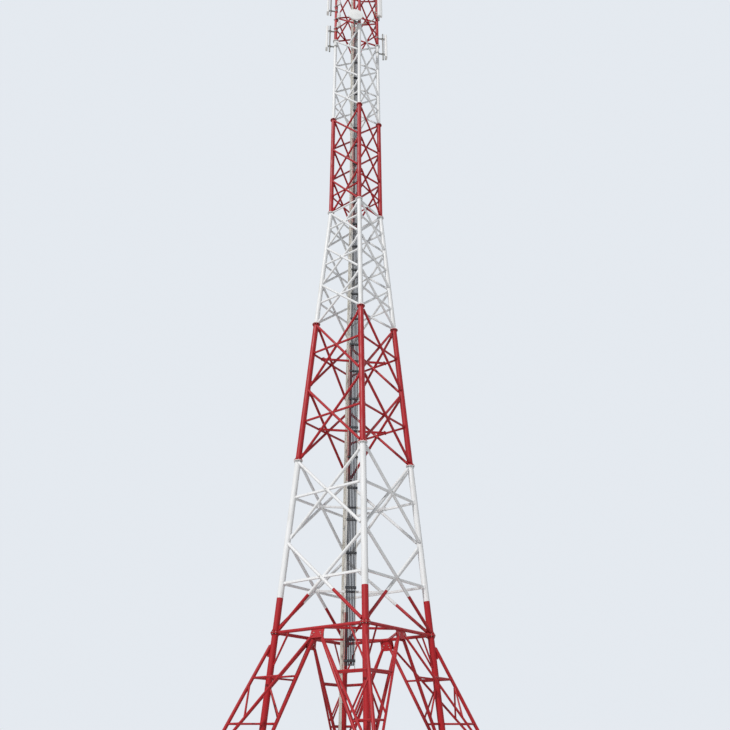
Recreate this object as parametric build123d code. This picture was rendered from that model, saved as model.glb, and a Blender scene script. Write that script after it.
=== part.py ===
"""Square lattice telecom tower of steel tubes, on four legs and four raking outrigger feet.

Millimetres, +Z up. Everything is modelled about the tower's own axis and is moved at the end, so
that the origin lies at the middle of the underside of the front left leg's base plate. Front is
-Y. Each face is drawn as the front one and turned about the axis, so the four sides match.
"""
import os
from math import atan, cos, degrees, pi, sqrt

from build123d import *

# Heights and plan
ring_height = 3900.0
section_length = 6000.0
tapered_sections = 3
straight_sections = 3
ring_half_side = 1838.0
top_half_side = 804.0
outer_foot_reach = 3220.0

# Legs and their flanged joints, from the base up
base_leg_diameter = 219.1
leg_diameters = [219.1, 219.1, 193.7, 193.7, 168.3, 168.3]
base_leg_sides = 16
leg_sides = 12
flange_sides = 12
flange_overhang = 55.0
flange_thickness = 20.0

# Crossed bracing of the faces, one value a section
panels = [2, 2, 3, 3, 3, 3]
diagonal_sizes = [108.0, 101.6, 95.0, 88.9, 88.9, 82.5]
horizontal_sizes = [80.0, 70.0, 70.0, 60.0, 60.0, 60.0]
panels_with_level_bar = [2, 2, 3, 1, 1, 1]
brace_set_off = 26.0
brace_bite = 4.0
joint_gap = 0.3

# Base: feet, ring, raking struts and ties
plate_thickness = 25.0
main_plate_side = 520.0
outer_plate_side = 460.0
bolt_hole_radius = 17.0
plain_hole_sides = 8
bolt_edge_distance = 65.0
rib_height = 150.0
rib_thickness = 15.0
rib_toe_height = 20.0
rib_gap = 5.0
raker_diameter = 114.3
raker_drop = 150.0
ring_diameter = 108.0
tube_sides = 12
inner_strut_size = 108.0
outer_strut_size = 76.1
strut_lift = 150.0
tie_size = 60.0
tie_heights = [1250.0, 2550.0]
tie_step = 160.0
knee_reach = 600.0
gusset_thickness = 12.0
gusset_reach = 380.0
diamond_size = 70.0
diamond_spread = 90.0

# Bars inside the tower that carry the cable ladder
plan_bar_size = 80.0
sections_with_plan_bars = 2
ladder_to_rear_leg = 1400.0

# Cable ladder, cables and clamps
ladder_foot = 2900.0
ladder_head = 35200.0
ladder_width = 400.0
ladder_rail_depth = 50.0
ladder_rail_thickness = 20.0
ladder_bar_pitch = 1200.0
ladder_bar_size = 30.0
cable_count = 6
cable_diameter = 42.0
cable_spacing = 56.0
cable_inset = 150.0
clamp_height = 90.0
clamp_depth = 30.0

# Bars that hold the cable ladder to the rear left leg where there are no carrier bars
stay_levels = [18500.0, 24500.0, 30500.0, 34500.0]
stay_size = 50.0
stay_depth = 40.0

# Climbing ladder beside the rear left leg
climb_foot = 600.0
climb_head = 39600.0
climb_near = 400.0
climb_far = 800.0
climb_aside = -185.0
stile_width = 60.0
stile_thickness = 12.0
rung_pitch = 300.0
rung_size = 22.0
climb_bracket_size = 30.0
base_bracket_levels = [1000.0, 2000.0, 3300.0]

# Panel antennas on pipes, each with its leg, the way it faces, and its foot and the levels of its
# arms above the foot of the uppermost section
antenna_places = [
    ((-1, -1), (-1, -1, 0), -720.0, (-450.0, 800.0)),
    ((-1, -1), (-1, -1, 0), 2300.0, (2550.0, 3800.0)),
    ((1, 1), (1, 1, 0), -850.0, (-550.0, 700.0)),
    ((1, 1), (1, -0.65, 0), 1970.0, (2400.0, 3400.0)),
]
antenna_length = 1800.0
antenna_width = 260.0
antenna_depth = 130.0
antenna_chamfer = 40.0
antenna_gap = 60.0
pipe_diameter = 76.1
pipe_sides = 8
pipe_line = 310.0
pipe_overrun = 150.0
arm_size = 60.0
antenna_bracket_width = 80.0

# Dish antenna in front of the front right leg
drum_rise = 300.0
drum_diameter = 800.0
drum_back = 170.0
drum_hub_diameter = 180.0
dish_depth = 170.0
drum_rim_depth = 60.0
drum_aside = -260.0
drum_sides = 24
drum_carrier_size = 120.0
radome_depth = 30.0
radome_taper = 60.0
drum_pipe_reach = (-450.0, 750.0)
drum_arm_rises = (250.0, 850.0)

# Radio units in front of the front left leg
radio_rises = [1040.0, 1800.0, 2920.0]
radio_aside = 300.0
radio_width = 200.0
radio_height = 400.0
radio_depth = 100.0
radio_plate_thickness = 16.0
radio_plate_height = 60.0

bend_height = ring_height + tapered_sections * section_length
steel_top = bend_height + straight_sections * section_length
head_foot = steel_top - section_length
drum_level = head_foot + drum_rise
taper = (ring_half_side - top_half_side) / (bend_height - ring_height)
corners = [(-1, -1), (1, -1), (1, 1), (-1, 1)]
up = Vector(0, 0, 1)
outward = Vector(0, -1, 0)


def half_side(z):
    """Distance along X or Y from the tower's axis to a leg's axis at height z."""
    return top_half_side + max(bend_height - z, 0) * taper


def on_leg(corner, z):
    """Point on a leg's axis at height z."""
    return Vector(corner[0] * half_side(z), corner[1] * half_side(z), z)


def along(start, end, z):
    """Point at height z on the line from start to end."""
    return start + (end - start) * ((z - start.Z) / (end.Z - start.Z))


def seat(point, tube_run, radius, bar_run):
    """Plane that touches a tube at the given radius, on the side where a bar leaves it."""
    tube = tube_run.normalized()
    away = (bar_run - tube * bar_run.dot(tube)).normalized()
    return Plane(origin=point + away * radius, z_dir=away)


def round_of(diameter, sides):
    """Many-sided outline with its first flat square to X."""
    return RegularPolygon(diameter / 2, sides, major_radius=False, rotation=180 / sides)


def over_corners(size, sides):
    """Distance from a many-sided bar's axis to its corners."""
    return size / 2 / cos(pi / sides)


def bar(start, end, size, flat, sides=6, cuts=()):
    """Straight bar with one of its flats turned to the given side, cut off by planes."""
    run = end - start
    section = Plane(origin=start, x_dir=(run.cross(flat)).cross(run), z_dir=run)
    solid = extrude(section * round_of(size, sides), run.length)
    for cut in cuts:
        solid = split(solid, bisect_by=cut, keep=Keep.TOP)
    return solid


def upright(low, high, diameter, sides):
    """Leaning leg tube whose ends are level."""
    foot = Pos(low.X, low.Y, low.Z) * round_of(diameter, sides)
    return extrude(foot, (high - low).length, dir=(high - low).normalized())


def flange(centre, diameter, thickness, below):
    """Joint plate above or below its level."""
    outline = round_of(diameter + 2 * flange_overhang, flange_sides)
    return Pos(centre.X, centre.Y, centre.Z) * extrude(outline, -thickness if below else thickness)


def leg_section(corner, low, high, diameter, sides=leg_sides, foot_flange=True):
    """One length of leg with its joint plates."""
    start = on_leg(corner, low)
    end = on_leg(corner, high)
    inner_low = on_leg(corner, low + (flange_thickness if foot_flange else 0))
    inner_high = on_leg(corner, high - flange_thickness)
    solid = upright(inner_low, inner_high, diameter, sides)
    solid += flange(end, diameter, flange_thickness, True)
    if foot_flange:
        solid += flange(start, diameter, flange_thickness, False)
    return solid


def crossing_level(low, high):
    """Height where the diagonals of a panel cross."""
    wide, narrow = half_side(low), half_side(high)
    return low + (high - low) * wide / (wide + narrow)


def crossed_panel(low, high, diagonal, horizontal, leg_radius):
    """Crossed diagonals of one front panel, with a level bar through their crossing if it has one."""
    left, right = corners[0], corners[1]
    low += brace_set_off
    high -= brace_set_off
    normal = (on_leg(right, low) - on_leg(left, low)).cross(on_leg(left, high) - on_leg(left, low))
    normal = normal.normalized()
    shift = normal * ((diagonal - brace_bite) / 2)
    left_run = on_leg(left, high) - on_leg(left, low)
    right_run = on_leg(right, high) - on_leg(right, low)
    pieces = []
    for side, start, end, first, last in (
        (1, on_leg(left, high), on_leg(right, low), left_run, right_run),
        (-1, on_leg(left, low), on_leg(right, high), left_run, right_run),
    ):
        run = end - start
        cuts = [seat(start, first, leg_radius, run), seat(end, last, leg_radius, run * -1)]
        pieces.append(bar(start + shift * side, end + shift * side, diagonal, normal, cuts=cuts))
    panel = pieces[0] + pieces[1]
    if horizontal:
        panel += level_bar(crossing_level(low, high), horizontal, leg_radius, normal)
    return panel


def level_bar(level, size, leg_radius, flat):
    """Level bar of the front face from leg to leg."""
    left, right = on_leg(corners[0], level), on_leg(corners[1], level)
    left_run = left - on_leg(corners[0], level - 1)
    right_run = right - on_leg(corners[1], level - 1)
    run = right - left
    cuts = [seat(left, left_run, leg_radius, run), seat(right, right_run, leg_radius, run * -1)]
    return bar(left, right, size, flat, sides=4, cuts=cuts)


def between_flanges(level, diameter):
    """Planes that end a front bar at the rims of the joint plates."""
    left, right = on_leg(corners[0], level), on_leg(corners[1], level)
    reach = diameter / 2 + flange_overhang + joint_gap
    run = right - left
    return [seat(left, up, reach, run), seat(right, up, reach, run * -1)]


def base_plate(centre, side, rib_sides, tube_radius, hole=None):
    """Square foot, with bolt holes in its corners if it has any, and ribs that stiffen its tube."""
    solid = Box(side, side, plate_thickness, align=(Align.CENTER, Align.CENTER, Align.MIN))
    if hole:
        span = side - 2 * bolt_edge_distance
        solid -= GridLocations(span, span, 2, 2) * extrude(hole, plate_thickness)
    for direction in rib_sides:
        out = Vector(*direction)
        rib_plane = Plane(origin=(0, 0, plate_thickness), x_dir=out, z_dir=out.cross(up))
        near = tube_radius + rib_gap
        far = side / 2 - rib_gap
        outline = Polyline(
            (near, 0), (far, 0), (far, rib_toe_height), (near, rib_height), close=True
        )
        solid += extrude(rib_plane * make_face(outline), rib_thickness / 2, both=True)
    return Pos(centre.X, centre.Y, centre.Z) * solid


def turned(shape, turns):
    """Copy of a shape turned about the tower's axis by quarter turns."""
    return Rot(0, 0, 90 * turns) * shape


def section_levels(index):
    """Levels of the bracing nodes of one section."""
    low = ring_height + index * section_length
    step = section_length / panels[index]
    return [low + step * n for n in range(panels[index] + 1)]


nodes = {}

# Tower sections: legs and four faces each
for index in range(tapered_sections + straight_sections):
    name = "section_%d_" % (index + 1)
    levels = section_levels(index)
    nodes[name + "legs"] = [
        leg_section(corner, levels[0], levels[-1], leg_diameters[index]) for corner in corners
    ]
    face = []
    for number, (low, high) in enumerate(zip(levels[:-1], levels[1:])):
        horizontal = horizontal_sizes[index] if number < panels_with_level_bar[index] else None
        face.append(crossed_panel(low, high, diagonal_sizes[index], horizontal, leg_diameters[index] / 2))
    for turns, side in enumerate(("front", "right", "rear", "left")):
        nodes[name + side] = [turned(panel, turns) for panel in face]

# Base: legs, rakers, ring
foot = plate_thickness
nodes["base_legs"] = [
    leg_section(corner, foot, ring_height, base_leg_diameter, base_leg_sides, foot_flange=False)
    for corner in corners
]
raker_foot = Vector(-outer_foot_reach, -outer_foot_reach, 0)
raker_head = on_leg(corners[0], ring_height - raker_drop)
leg_run = raker_head - on_leg(corners[0], 0)
raker_run = raker_head - raker_foot
raker = bar(
    along(raker_foot, raker_head, -raker_diameter),
    raker_head,
    raker_diameter,
    Vector(1, -1, 0),
    sides=tube_sides,
    cuts=[Plane.XY.offset(foot), seat(raker_head, leg_run, base_leg_diameter / 2, raker_run * -1)],
)
nodes["base_rakers"] = [turned(raker, turns) for turns in range(4)]

face_normal = Vector(0, -1, taper).normalized()
ring = bar(
    on_leg(corners[0], ring_height),
    on_leg(corners[1], ring_height),
    ring_diameter,
    face_normal,
    sides=tube_sides,
    cuts=between_flanges(ring_height, max(base_leg_diameter, leg_diameters[0])),
)
ring_middle = Vector(0, -half_side(ring_height), ring_height)
main_foot = on_leg(corners[0], strut_lift)
outer_foot = along(raker_foot, raker_head, strut_lift)


def ring_gusset(target, strut_size):
    """Plate under the ring's middle, in the plane of the two struts that it carries."""
    mirrored = Vector(-target.X, target.Y, target.Z)
    middle = (target + mirrored) * 0.5
    down = (middle - ring_middle).normalized()
    across = Vector(1, 0, 0)
    run = (mirrored - ring_middle).normalized()
    x, y = run.dot(across), run.dot(down)
    half = strut_size / 2
    top = over_corners(ring_diameter, tube_sides)
    corner = (gusset_reach * x + half * y, gusset_reach * y - half * x)
    tip = (gusset_reach * x - half * y, gusset_reach * y + half * x)
    wide = corner[0]
    points = [(-wide, top), (wide, top), corner, tip, (-tip[0], tip[1]), (-corner[0], corner[1])]
    plane = Plane(origin=ring_middle, x_dir=across, z_dir=across.cross(down))
    outline = Polyline(*points, close=True)
    return extrude(plane * make_face(outline), gusset_thickness / 2, both=True)


inner_gusset = ring_gusset(main_foot, inner_strut_size)
outer_gusset = ring_gusset(outer_foot, outer_strut_size)
nodes["base_ring"] = [turned(ring, turns) for turns in range(4)]
nodes["ring_gussets"] = [
    turned(plate, turns) for plate in (inner_gusset, outer_gusset) for turns in range(4)
]


def inner_flat(turns, level, depth):
    """Plane inside a tapered face, parallel to it at a given depth from its middle plane."""
    normal = face_normal.rotate(Axis.Z, 90 * turns)
    middle = Vector(0, -half_side(level), level).rotate(Axis.Z, 90 * turns)
    return Plane(origin=middle - normal * depth, z_dir=normal * -1)


diamond_start = Vector(diamond_spread, -half_side(ring_height), ring_height)
diamond_end = Vector(half_side(ring_height), -diamond_spread, ring_height)
diamond_cuts = [inner_flat(turns, ring_height, ring_diameter / 2) for turns in (0, 1)]
diamond_bar = bar(diamond_start, diamond_end, diamond_size, up, sides=4, cuts=diamond_cuts)
nodes["ring_diamond"] = [turned(diamond_bar, turns) for turns in range(4)]


def strut(target, size, tube_run, tube_radius):
    """Strut from the gusset at the ring's middle down to a foot of the front left corner."""
    run = target - ring_middle
    plane = Vector(1, 0, 0).cross(run).normalized()
    start = ring_middle + run.normalized() * gusset_reach
    return bar(start, target, size, plane, cuts=[seat(target, tube_run, tube_radius, run * -1)])


leg_radius = base_leg_diameter / 2
raker_radius = over_corners(raker_diameter, tube_sides)
struts = [
    strut(main_foot, inner_strut_size, leg_run, leg_radius),
    strut(outer_foot, outer_strut_size, raker_run, raker_radius),
]


def corner_ties():
    """Ties of the front left corner: leg to raker, and from both to the struts and the ring."""
    pieces = []
    foot_leg = on_leg(corners[0], 0)
    for height in tie_heights:
        leg_at = along(foot_leg, raker_head, height)
        raker_at = along(raker_foot, raker_head, height)
        run = raker_at - leg_at
        cuts = [
            seat(leg_at, leg_run, leg_radius, run),
            seat(raker_at, raker_run, raker_diameter / 2, run * -1),
        ]
        pieces.append(bar(leg_at, raker_at, tie_size, up, sides=4, cuts=cuts))
    for foot_at, target, tube_run, radius, strut_size in (
        (foot_leg, main_foot, leg_run, leg_radius, inner_strut_size),
        (raker_foot, outer_foot, raker_run, raker_radius, outer_strut_size),
    ):
        low, high = tie_heights
        for tube_height, strut_height in ((low, low), (high, high), (high - tie_step, low + tie_step)):
            tube_at = along(foot_at, raker_head, tube_height)
            strut_at = along(target, ring_middle, strut_height)
            run = strut_at - tube_at
            cuts = [
                seat(tube_at, tube_run, radius, run),
                seat(strut_at, ring_middle - target, over_corners(strut_size, 6), run * -1),
            ]
            flat = (ring_middle - target).cross(run)
            pieces.append(bar(tube_at, strut_at, tie_size, flat, sides=4, cuts=cuts))
    knee_foot = along(foot_leg, raker_head, high + tie_step)
    knee_head = on_leg(corners[0], ring_height) + Vector(knee_reach, 0, 0)
    run = knee_head - knee_foot
    cuts = [
        seat(knee_foot, leg_run, leg_radius, run),
        seat(knee_head, Vector(1, 0, 0), ring_diameter / 2, run * -1),
    ]
    pieces.append(bar(knee_foot, knee_head, tie_size, face_normal, sides=4, cuts=cuts))
    return pieces


across_corner = Plane((0, 0, 0), z_dir=(1, -1, 0))
ties = corner_ties()
paired_ties = ties + [mirror(tie, across_corner) for tie in ties[len(tie_heights):]]
paired_struts = struts + [mirror(piece, across_corner) for piece in struts]
for turns, side in enumerate(("front_left", "front_right", "rear_right", "rear_left")):
    nodes["bracing_" + side] = [turned(piece, turns) for piece in paired_struts]
    nodes["ties_" + side] = [turned(piece, turns) for piece in paired_ties]

ribs = [(-1, 0, 0), (0, -1, 0)]
round_hole = Circle(bolt_hole_radius)
plain_hole = round_of(2 * bolt_hole_radius, plain_hole_sides)
main_foot_middle = on_leg(corners[0], 0)
main_plates = [
    base_plate(main_foot_middle, main_plate_side, ribs, leg_radius, hole)
    for hole in (round_hole, plain_hole, plain_hole, plain_hole)
]
outer_plate = base_plate(raker_foot, outer_plate_side, ribs, raker_radius)
nodes["main_base_plates"] = [turned(plate, turns) for turns, plate in enumerate(main_plates)]
nodes["outer_base_plates"] = [turned(outer_plate, turns) for turns in range(4)]

# Level bars of the faces at the bend and at the top
bend_diameter = max(leg_diameters[tapered_sections - 1], leg_diameters[tapered_sections])
top_level = steel_top - horizontal_sizes[-1] / 2


def rim_bar(level, size, diameter):
    """Level bar of the front face between the joint plates of two legs."""
    left, right = on_leg(corners[0], level), on_leg(corners[1], level)
    return bar(left, right, size, outward, sides=4, cuts=between_flanges(level, diameter))


bend_bar = rim_bar(bend_height, horizontal_sizes[tapered_sections], bend_diameter)
top_bar = rim_bar(top_level, horizontal_sizes[-1], leg_diameters[-1])
nodes["level_bars"] = [turned(piece, turns) for piece in (bend_bar, top_bar) for turns in range(4)]

# Inside the tower: carrier bars, cable ladder, cables and their clamps
rearward = Vector(-1, 1, 0).normalized()
sideways = Vector(1, 1, 0).normalized()


def behind_axis(z, from_leg):
    """Point on the plan diagonal at a given distance in front of the rear left leg."""
    reach = sqrt(2) * half_side(z) - from_leg
    return rearward * reach + up * z


def ladder_flat(level):
    """Direction square to the ladders at a level, pointing to the rear left leg."""
    run = (behind_axis(level + 1, ladder_to_rear_leg) - behind_axis(level, ladder_to_rear_leg)).normalized()
    return (rearward - run * rearward.dot(run)).normalized()


def plan_bar(level, size, diagonal):
    """Bar between the left and rear faces that the cable ladder is fixed to.

    It ends on the faces' level bars or, where it lands near their crossings, on the diagonals.
    """
    flat = ladder_flat(level)
    rail = ladder_rail_depth / 2 * rearward.dot(flat)
    middle = behind_axis(level, ladder_to_rear_leg) + flat * (plan_bar_size / 2 + rail)
    reach = (middle.X + half_side(level)) * sqrt(2)
    landing = abs(middle.Y - reach / sqrt(2))
    depth = diagonal - brace_bite / 2 if landing < 2 * diagonal else size / 2
    cuts = [inner_flat(3, level, depth), inner_flat(2, level, depth)]
    return bar(middle - sideways * reach, middle + sideways * reach, plan_bar_size, flat, sides=4, cuts=cuts)


nodes["plan_bars"] = []
for index in range(sections_with_plan_bars):
    levels = section_levels(index)
    for low, high in zip(levels[:-1], levels[1:]):
        level = crossing_level(low + brace_set_off, high - brace_set_off)
        nodes["plan_bars"].append(plan_bar(level, horizontal_sizes[index], diagonal_sizes[index]))


def running(start_z, end_z, from_leg, aside, width, depth, sides=4):
    """Bar that follows the rear leg's lean up to the bend and then runs straight up."""
    stops = [z for z in (start_z, bend_height, end_z) if start_z <= z <= end_z]
    pieces = []
    for low, high in zip(stops[:-1], stops[1:]):
        start = behind_axis(low, from_leg) + sideways * aside
        end = behind_axis(high, from_leg) + sideways * aside
        if sides == 4:
            outline = Rectangle(width, depth)
        else:
            outline = RegularPolygon(width / 2, sides, major_radius=False)
        base = Plane(origin=start, x_dir=sideways, z_dir=up) * outline
        pieces.append(extrude(base, (end - start).length, dir=(end - start).normalized()))
    solid = pieces[0]
    for piece in pieces[1:]:
        solid += piece
    return solid


def crosspiece(z, from_leg, length, depth, height):
    """Short level bar across the run of the ladder."""
    return running(z - height / 2, z + height / 2, from_leg, 0, length, depth)


rail_aside = (ladder_width - ladder_rail_thickness) / 2
ladder = [
    running(
        ladder_foot, ladder_head, ladder_to_rear_leg,
        side * rail_aside, ladder_rail_thickness, ladder_rail_depth,
    )
    for side in (-1, 1)
]
bar_count = int((ladder_head - ladder_foot) // ladder_bar_pitch)
bar_levels = [ladder_foot + ladder_bar_pitch * (n + 0.25) for n in range(bar_count + 1)]
inner_width = ladder_width - 2 * ladder_rail_thickness
rungs = [
    crosspiece(z, ladder_to_rear_leg, inner_width, ladder_bar_size, ladder_bar_size)
    for z in bar_levels
]
nodes["cable_ladder"] = ladder + rungs

cable_line = ladder_to_rear_leg + ladder_bar_size / 2 + cable_diameter / 2
cable_places = [cable_spacing * (n - (cable_count - 1) / 2) for n in range(cable_count)]
nodes["feeder_cables"] = [
    running(
        ladder_foot + cable_inset, ladder_head - cable_inset,
        cable_line, place, cable_diameter, 0, sides=6,
    )
    for place in cable_places
]
clamp_line = cable_line + cable_diameter / 2 + clamp_depth / 2
nodes["cable_clamps"] = [
    crosspiece(z, clamp_line, ladder_width, clamp_depth, clamp_height) for z in bar_levels
]

ladder_rear = ladder_to_rear_leg - ladder_rail_depth / 2


def ladder_stay(z):
    """Bar from the rear left leg to a crosspiece on the back of the cable ladder."""
    index = int((z - ring_height) // section_length)
    first = over_corners(leg_diameters[index], leg_sides)
    last = ladder_rear - stay_depth
    stay = running(
        z - stay_size / 2, z + stay_size / 2, (first + last) / 2, 0, stay_size, last - first
    )
    return [stay, crosspiece(z, ladder_rear - stay_depth / 2, ladder_width, stay_depth, stay_size)]


# Climbing ladder beside the rear left leg, with a bracket in every panel
nodes["climbing_ladder"] = [
    running(climb_foot, climb_head, place, climb_aside, stile_width, stile_thickness)
    for place in (climb_near, climb_far)
]
rung_count = int((climb_head - climb_foot) // rung_pitch)
rung_levels = [climb_foot + rung_pitch * (n + 0.5) for n in range(rung_count)]
rung_middle = (climb_near + climb_far) / 2
rung_length = climb_far - climb_near - stile_thickness
nodes["climbing_rungs"] = [
    running(z - rung_size / 2, z + rung_size / 2, rung_middle, climb_aside, rung_size, rung_length)
    for z in rung_levels
]


def climb_bracket(z, leg_diameter, sides):
    """Bar from the rear left leg to the nearer stile of the climbing ladder."""
    leg_at = on_leg(corners[3], z)
    stile_at = behind_axis(z, climb_near) + sideways * climb_aside
    run = stile_at - leg_at
    rear_face = behind_axis(z, climb_near - stile_thickness / 2)
    cuts = [
        seat(leg_at, leg_at - on_leg(corners[3], z - 1), over_corners(leg_diameter, sides), run),
        Plane(origin=rear_face, z_dir=ladder_flat(z)),
    ]
    return bar(leg_at, stile_at + run.normalized() * stile_width, climb_bracket_size, up, sides=4, cuts=cuts)


brackets = [climb_bracket(z, base_leg_diameter, base_leg_sides) for z in base_bracket_levels]
for index, diameter in enumerate(leg_diameters):
    levels = section_levels(index)
    for low, high in zip(levels[:-1], levels[1:]):
        brackets.append(climb_bracket(low + (high - low) / 4, diameter, leg_sides))
nodes["ladder_brackets"] = brackets + [piece for z in stay_levels for piece in ladder_stay(z)]


# Antennas and radio units at the head
def block(x_range, y_range, z_range):
    """Box between the given limits."""
    ranges = (x_range, y_range, z_range)
    middle = [(low + high) / 2 for low, high in ranges]
    return Pos(*middle) * Box(*[high - low for low, high in ranges])


def outboard_of(corner, direction):
    """Place on a straight leg's axis with X pointing the given way."""
    axis = on_leg(corner, bend_height)
    return Plane(origin=(axis.X, axis.Y, 0), x_dir=direction, z_dir=up).location


def clamped(arm, corner, level):
    """Arm whose inner end is cut to fit the leg's tube."""
    low = on_leg(corner, level - arm_size)
    high = on_leg(corner, level + arm_size)
    return arm - upright(low, high, leg_diameters[-1], leg_sides)


def pipe_at(x, y, low, high):
    """Upright pipe that carries an antenna."""
    return Pos(x, y, low) * extrude(round_of(pipe_diameter, pipe_sides), high - low)


half_arm = arm_size / 2
pipe_radius = pipe_diameter / 2
antenna_back = pipe_line + pipe_radius + antenna_gap
antenna_front = antenna_back + antenna_depth
half_width = antenna_width / 2
antenna_outline = Polyline(
    (antenna_back, -half_width),
    (antenna_front - antenna_chamfer, -half_width),
    (antenna_front, antenna_chamfer - half_width),
    (antenna_front, half_width - antenna_chamfer),
    (antenna_front - antenna_chamfer, half_width),
    (antenna_back, half_width),
    close=True,
)
for name in ("panel_antennas", "antenna_pipes", "antenna_brackets"):
    nodes[name] = []
for corner, direction, foot_rise, arm_rises in antenna_places:
    place = outboard_of(corner, direction)
    low = head_foot + foot_rise
    panel = Pos(0, 0, low) * extrude(make_face(antenna_outline), antenna_length)
    pipe = pipe_at(pipe_line, 0, low - pipe_overrun, low + antenna_length + pipe_overrun)
    nodes["panel_antennas"].append(place * panel)
    nodes["antenna_pipes"].append(place * pipe)
    for level in [head_foot + rise for rise in arm_rises]:
        heights = (level - half_arm, level + half_arm)
        arm = place * block((0, pipe_line - pipe_radius), (-half_arm, half_arm), heights)
        half_bracket = antenna_bracket_width / 2
        bracket = block((pipe_line + pipe_radius, antenna_back), (-half_bracket, half_bracket), heights)
        nodes["antenna_brackets"] += [clamped(arm, corner, level), place * bracket]

drum_place = outboard_of(corners[1], (1, -1, 0))
drum_outline = round_of(drum_diameter, drum_sides)
drum_rim = drum_back + dish_depth
drum_face = drum_rim + drum_rim_depth
dish_taper = degrees(atan((drum_diameter - drum_hub_diameter) / 2 / dish_depth))
dish_plane, rim_plane, face_plane = [
    Plane(origin=(forward, drum_aside, drum_level), x_dir=(0, 1, 0), z_dir=(way, 0, 0))
    for forward, way in ((drum_rim, -1), (drum_rim, 1), (drum_face, 1))
]
dish = extrude(dish_plane * drum_outline, dish_depth, taper=dish_taper)
drum = dish + extrude(rim_plane * drum_outline, drum_rim_depth)
radome = extrude(face_plane * drum_outline, radome_depth, taper=radome_taper)
nodes["drum_antenna"] = [drum_place * drum]
nodes["drum_radome"] = [drum_place * radome]
drum_pipe = pipe_at(0, drum_aside, *[drum_level + reach for reach in drum_pipe_reach])
nodes["antenna_pipes"].append(drum_place * drum_pipe)
half_carrier = drum_carrier_size / 2
carrier = block(
    (pipe_radius, drum_back),
    (drum_aside - half_carrier, drum_aside + half_carrier),
    (drum_level - half_carrier, drum_level + half_carrier),
)
nodes["antenna_brackets"].append(drum_place * carrier)
for level in [head_foot + rise for rise in drum_arm_rises]:
    heights = (level - half_arm, level + half_arm)
    arm = drum_place * block((-half_arm, half_arm), (drum_aside + pipe_radius, 0), heights)
    nodes["antenna_brackets"].append(clamped(arm, corners[1], level))

nodes["radio_units"] = []
plate_front = -top_half_side - leg_diameters[-1] / 2 - radio_plate_thickness
radio_middle = radio_aside - top_half_side
radio_edge = radio_middle + radio_width / 2
for level in [head_foot + rise for rise in radio_rises]:
    radio = block(
        (radio_edge - radio_width, radio_edge),
        (plate_front - radio_depth, plate_front),
        (level - radio_height / 2, level + radio_height / 2),
    )
    plate = block(
        (-top_half_side - radio_plate_height, radio_edge),
        (plate_front, plate_front + radio_plate_thickness),
        (level - radio_plate_height / 2, level + radio_plate_height / 2),
    )
    nodes["radio_units"].append(radio)
    nodes["antenna_brackets"].append(plate)

origin = on_leg(corners[0], 0)
os.makedirs("parts", exist_ok=True)
for name, pieces in nodes.items():
    solids = [solid for piece in pieces for solid in piece.solids()]
    moved = Pos(-origin.X, -origin.Y, 0) * Compound(children=solids)
    export_step(moved, "parts/%s.step" % name)
    print(name, len(solids), round(sum(solid.volume for solid in solids) / 1e6, 2), "litres")
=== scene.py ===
"""Looks of the lattice tower: round tubes, bolted joints, cables, antennas and paint.

Metres. Shapes are drawn about the tower's own axis, and placed in the row frame when they are
joined into a piece.
"""

from math import atan2, cos, pi, radians, sin, sqrt

import bpy
from mathutils import Matrix, Vector


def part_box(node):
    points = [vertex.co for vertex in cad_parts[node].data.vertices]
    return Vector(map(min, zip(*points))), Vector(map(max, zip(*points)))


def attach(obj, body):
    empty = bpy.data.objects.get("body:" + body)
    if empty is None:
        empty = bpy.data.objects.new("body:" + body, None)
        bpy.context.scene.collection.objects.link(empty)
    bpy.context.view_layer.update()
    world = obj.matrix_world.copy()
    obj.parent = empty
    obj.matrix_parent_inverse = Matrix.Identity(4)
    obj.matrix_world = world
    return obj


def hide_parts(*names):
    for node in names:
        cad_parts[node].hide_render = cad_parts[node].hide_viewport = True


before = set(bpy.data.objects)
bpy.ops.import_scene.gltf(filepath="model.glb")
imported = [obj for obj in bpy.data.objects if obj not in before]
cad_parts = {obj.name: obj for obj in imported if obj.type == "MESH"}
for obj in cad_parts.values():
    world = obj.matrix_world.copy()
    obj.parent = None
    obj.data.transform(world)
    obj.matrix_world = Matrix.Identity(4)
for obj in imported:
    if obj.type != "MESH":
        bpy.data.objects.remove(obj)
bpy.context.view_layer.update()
ring_low, ring_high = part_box("base_ring")
middle = Vector(((ring_low.x + ring_high.x) / 2, (ring_low.y + ring_high.y) / 2, 0))

# Directions, corners and materials
UP, EAST, NORTH = Vector((0, 0, 1)), Vector((1, 0, 0)), Vector((0, 1, 0))
REARWARD, SIDEWAYS = Vector((-1, 1, 0)).normalized(), Vector((1, 1, 0)).normalized()
LEFT, RIGHT, REAR_RIGHT = (-1, -1), (1, -1), (1, 1)
SIDES = ("front", "right", "rear", "left")
CORNERS = ("front_left", "front_right", "rear_right", "rear_left")
# The last material is the galvanised zinc darkened as painted shade.
RED, WHITE, STEEL, DARK, PALE, BOLT, DUSTY, SHADE_DARK_ZINC = range(8)

# Heights and plan
RING, LENGTH, TAPERED, SECTIONS = 3.9, 6.0, 3, 6
RING_HALF, TOP_HALF = 1.838, 0.804
BEND = RING + TAPERED * LENGTH
TOP = RING + SECTIONS * LENGTH
HEAD_FOOT = TOP - LENGTH
TAPER = (RING_HALF - TOP_HALF) / (BEND - RING)
PAINT_STOPS = (5.0, 9.9, 15.9, 21.9, 27.9, 33.9)

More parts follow.
